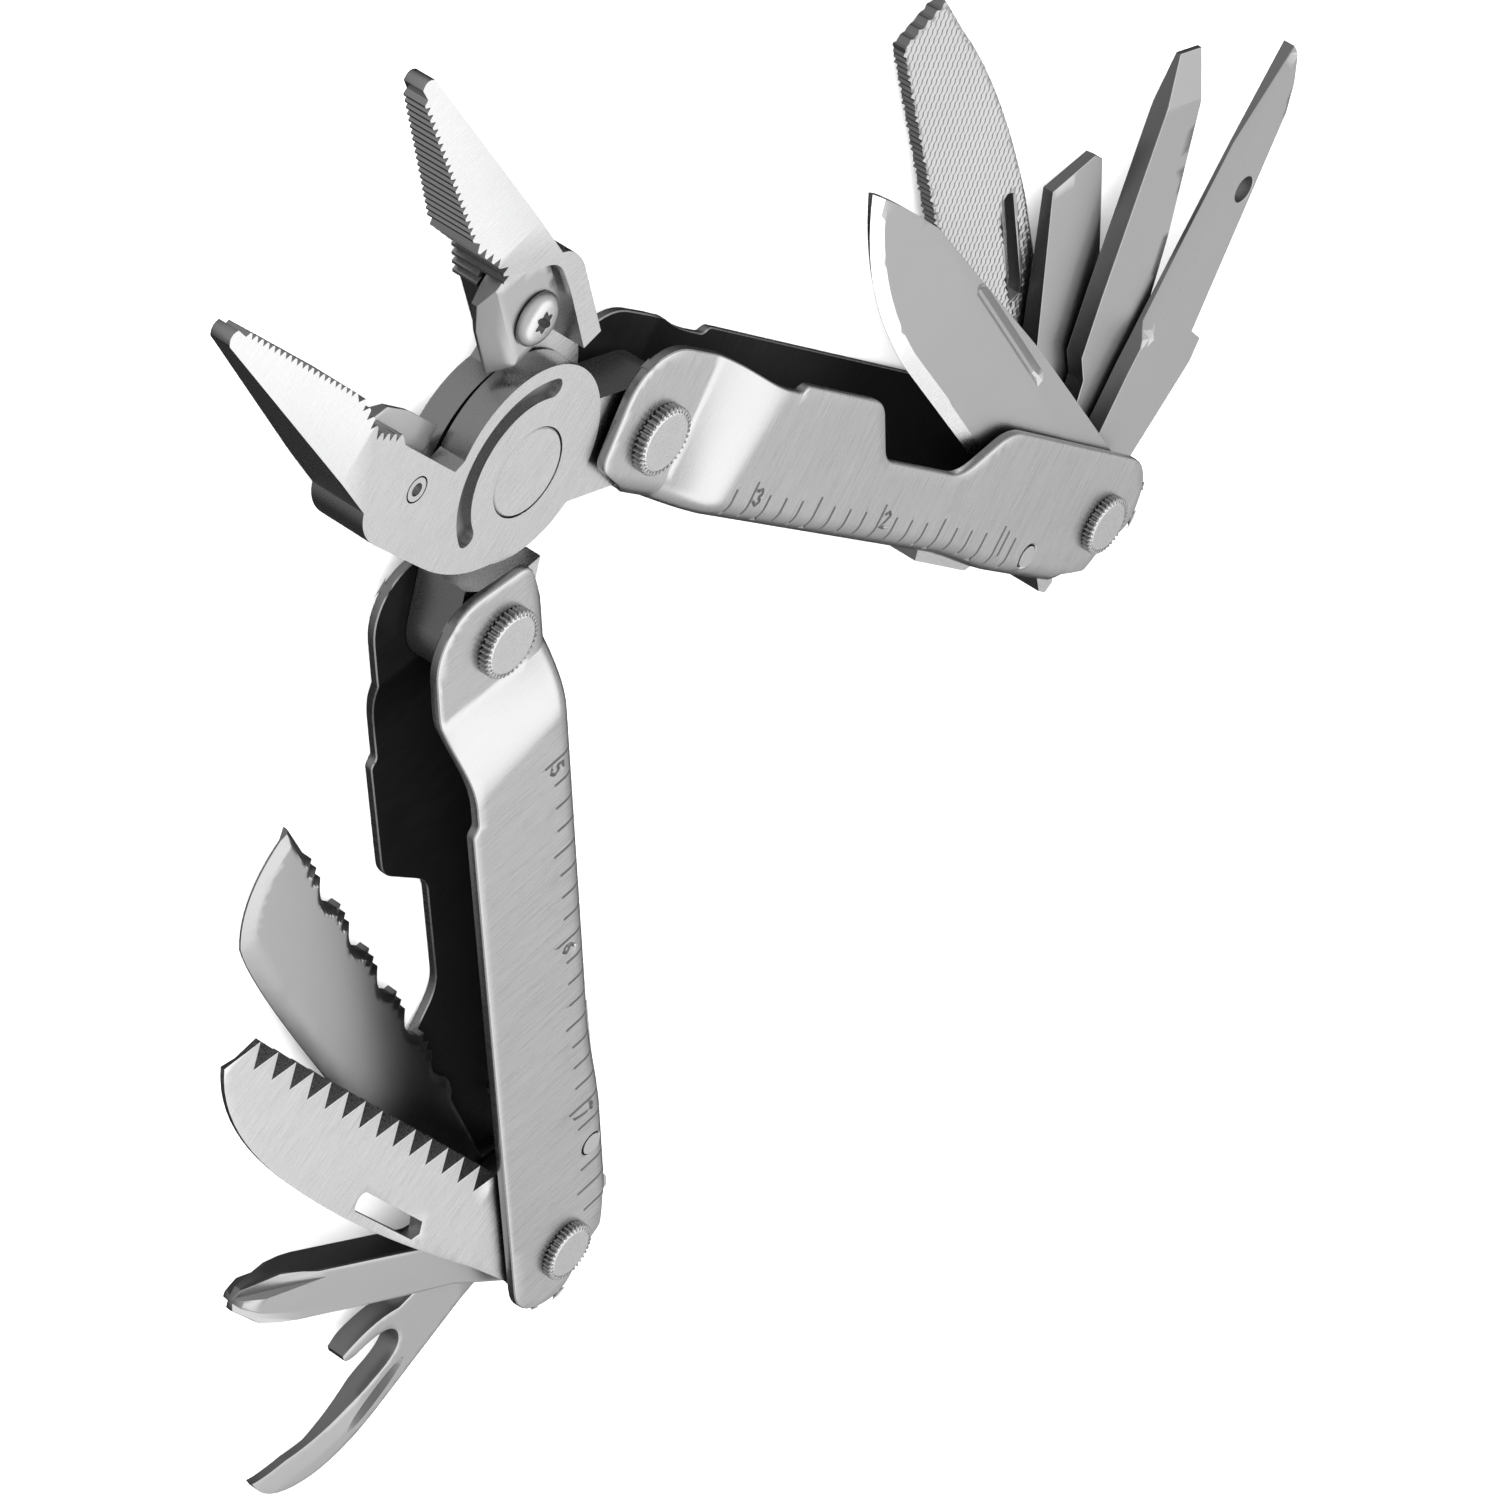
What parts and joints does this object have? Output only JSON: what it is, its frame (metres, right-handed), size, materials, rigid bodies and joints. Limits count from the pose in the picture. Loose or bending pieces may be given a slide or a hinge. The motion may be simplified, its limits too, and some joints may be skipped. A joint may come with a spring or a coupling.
{
  "type": "multi tool",
  "caption": "Folding pocket multi tool: needle-nose pliers between two channel handles that hold fold-out blades, drivers, a saw, a file, an awl and an opener.",
  "frame": {"origin": "centre of the bounding box's footprint, at the level of the rear heads that the tool lies on", "axes": "+Z is along every pivot, from the rear of the tool to its front; +Y is the way the pliers' nose points; +X is towards the handle that holds the straight knife"},
  "size_m": [0.1734, 0.148, 0.0154],
  "materials": {
    "brushed_steel": "brushed across the length",
    "bright_steel": "bright, finely ground",
    "satin_steel": "bead-blasted satin",
    "fastener_steel": "satin with knurled rims",
    "dark_steel": "dark satin"
  },
  "bodies": {
    "front_jaw": {"front_jaw": "brushed_steel", "front_jaw_cutter": "satin_steel", "front_jaw_cutter_screw": "satin_steel", "plier_rivet": "bright_steel"},
    "rear_jaw": {"rear_jaw": "brushed_steel", "rear_jaw_cutter": "satin_steel", "rear_jaw_cutter_screw": "satin_steel"},
    "left_handle": {"left_channel": "brushed_steel", "left_handle_bolt": "fastener_steel", "left_handle_nut": "fastener_steel", "left_tool_bolt": "fastener_steel", "left_tool_nut": "fastener_steel", "left_lever_pin": "fastener_steel", "left_lever_spring": "dark_steel"},
    "left_lock_lever": {"left_lock_lever": "satin_steel"},
    "serrated_knife": {"serrated_knife": "satin_steel"},
    "can_opener": {"can_opener": "satin_steel"},
    "phillips_driver": {"phillips_driver": "satin_steel"},
    "saw": {"saw": "bright_steel"},
    "right_handle": {"right_channel": "brushed_steel", "right_handle_bolt": "fastener_steel", "right_handle_nut": "fastener_steel", "right_tool_bolt": "fastener_steel", "right_tool_nut": "fastener_steel", "right_lever_pin": "fastener_steel", "right_lever_spring": "dark_steel"},
    "right_lock_lever": {"right_lock_lever": "satin_steel"},
    "straight_knife": {"straight_knife": "satin_steel"},
    "awl": {"awl": "satin_steel"},
    "large_driver": {"large_driver": "satin_steel"},
    "small_driver": {"small_driver": "satin_steel"},
    "flat_file": {"flat_file": "satin_steel"}
  },
  "joints": [
    {"name": "pliers_open", "type": "hinge", "parent": "front_jaw", "child": "rear_jaw", "pos_m": [-0.00465, 0.02472, 0.0077], "axis": [0, 0, -1], "range_deg": [-28, 3]},
    {"name": "left_handle_fold", "type": "hinge", "parent": "rear_jaw", "child": "left_handle", "pos_m": [-0.01617, 0.01218, 0.0077], "axis": [0, 0, -1], "range_deg": [0, 150]},
    {"name": "left_lock_release", "type": "hinge", "parent": "left_handle", "child": "left_lock_lever", "pos_m": [-0.04092, -0.05897, 0.0077], "axis": [0, 0, 1], "range_deg": [0, 3.5], "stiffness_Nm_per_rad": 0.05},
    {"name": "serrated_knife_open", "type": "hinge", "parent": "left_handle", "child": "serrated_knife", "pos_m": [-0.04998, -0.06799, 0.0077], "axis": [0, 0, 1], "range_deg": [-18.9, 164.6]},
    {"name": "can_opener_open", "type": "hinge", "parent": "left_handle", "child": "can_opener", "pos_m": [-0.04998, -0.06799, 0.0077], "axis": [0, 0, 1], "range_deg": [-98.9, 84.1]},
    {"name": "phillips_driver_open", "type": "hinge", "parent": "left_handle", "child": "phillips_driver", "pos_m": [-0.04998, -0.06799, 0.0077], "axis": [0, 0, 1], "range_deg": [-49.5, 127.5]},
    {"name": "saw_open", "type": "hinge", "parent": "left_handle", "child": "saw", "pos_m": [-0.04998, -0.06799, 0.0077], "axis": [0, 0, 1], "range_deg": [-31.5, 152]},
    {"name": "right_handle_fold", "type": "hinge", "parent": "front_jaw", "child": "right_handle", "pos_m": [0.00688, 0.01218, 0.0077], "axis": [0, 0, 1], "range_deg": [0, 150]},
    {"name": "right_lock_release", "type": "hinge", "parent": "right_handle", "child": "right_lock_lever", "pos_m": [0.03163, -0.05897, 0.0077], "axis": [0, 0, -1], "range_deg": [0, 3.5], "stiffness_Nm_per_rad": 0.05},
    {"name": "straight_knife_open", "type": "hinge", "parent": "right_handle", "child": "straight_knife", "pos_m": [0.04068, -0.06799, 0.0077], "axis": [0, 0, -1], "range_deg": [-17.6, 159.9]},
    {"name": "awl_open", "type": "hinge", "parent": "right_handle", "child": "awl", "pos_m": [0.04068, -0.06799, 0.0077], "axis": [0, 0, -1], "range_deg": [-85.1, 92.9]},
    {"name": "large_driver_open", "type": "hinge", "parent": "right_handle", "child": "large_driver", "pos_m": [0.04068, -0.06799, 0.0077], "axis": [0, 0, -1], "range_deg": [-66.5, 110.5]},
    {"name": "small_driver_open", "type": "hinge", "parent": "right_handle", "child": "small_driver", "pos_m": [0.04068, -0.06799, 0.0077], "axis": [0, 0, -1], "range_deg": [-50.4, 126.6]},
    {"name": "flat_file_open", "type": "hinge", "parent": "right_handle", "child": "flat_file", "pos_m": [0.04068, -0.06799, 0.0077], "axis": [0, 0, -1], "range_deg": [-34.6, 144.4]}
  ]
}
